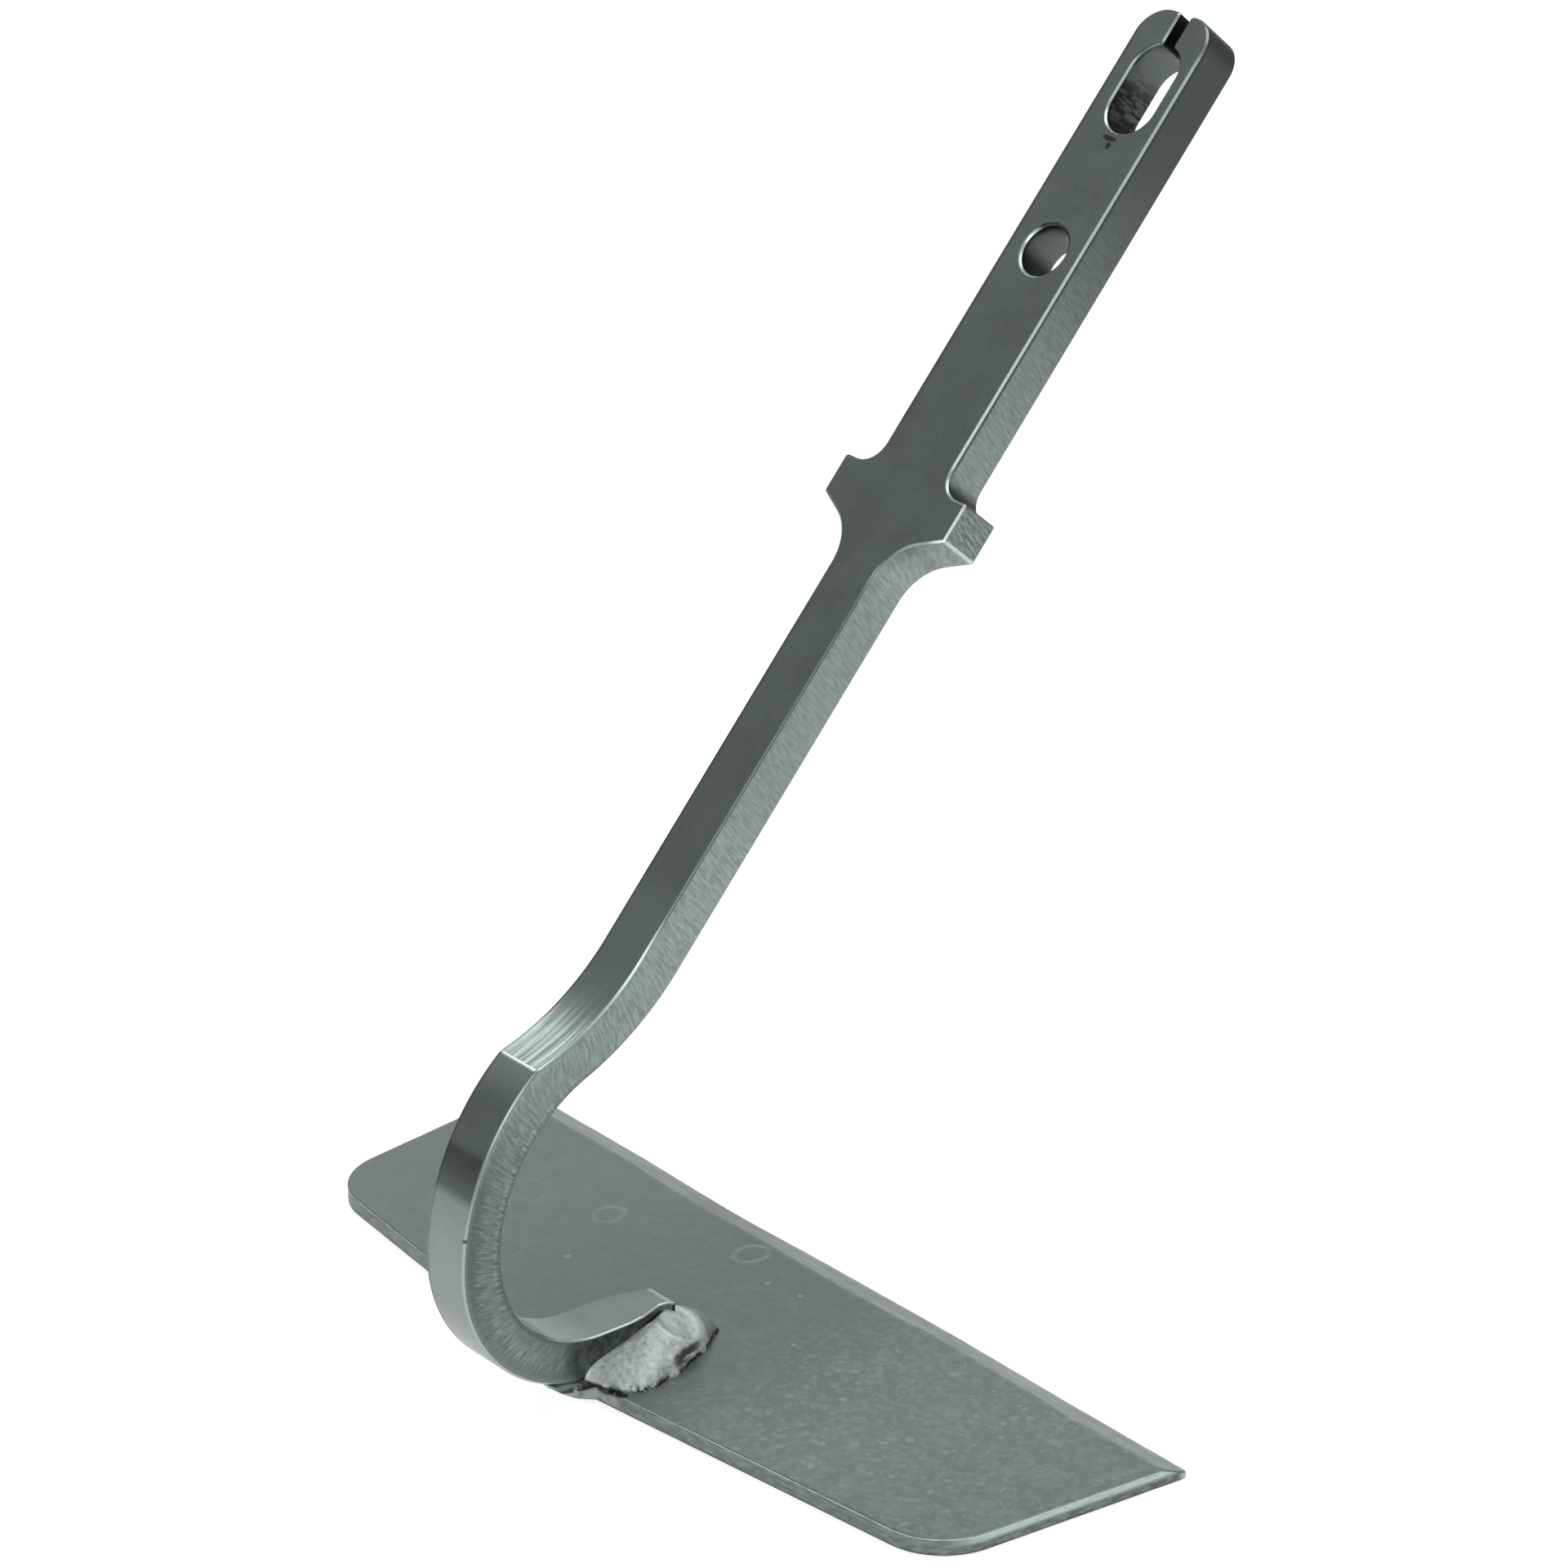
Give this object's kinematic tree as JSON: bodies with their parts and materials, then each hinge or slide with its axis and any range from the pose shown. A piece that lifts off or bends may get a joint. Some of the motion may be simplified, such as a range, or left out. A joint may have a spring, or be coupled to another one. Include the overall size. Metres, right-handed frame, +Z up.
{
  "type": "draw hoe head",
  "caption": "Swan-neck draw hoe head: flat sharpened blade with a welded bent-plate shank, shoulder ears and a slotted, drilled tang for a handle.",
  "frame": {"origin": "middle of the blade's underside, on the head's centre plane", "axes": "+X along the blade's width, +Y towards the cutting edge (the way the shank leans), +Z up off the flat blade"},
  "size_m": [0.1626, 0.1526, 0.1933],
  "materials": {
    "blade_steel": "bare rolled sheet, satin, with a ground cutting edge",
    "shank_steel": "bare plate, satin faces and sheared edges",
    "weld_steel": "bare weld metal, rippled"
  },
  "bodies": {
    "root": {"blade": "blade_steel", "shank": "shank_steel", "weld_right": "weld_steel", "weld_left": "weld_steel", "weld_heel": "weld_steel"}
  },
  "joints": []
}
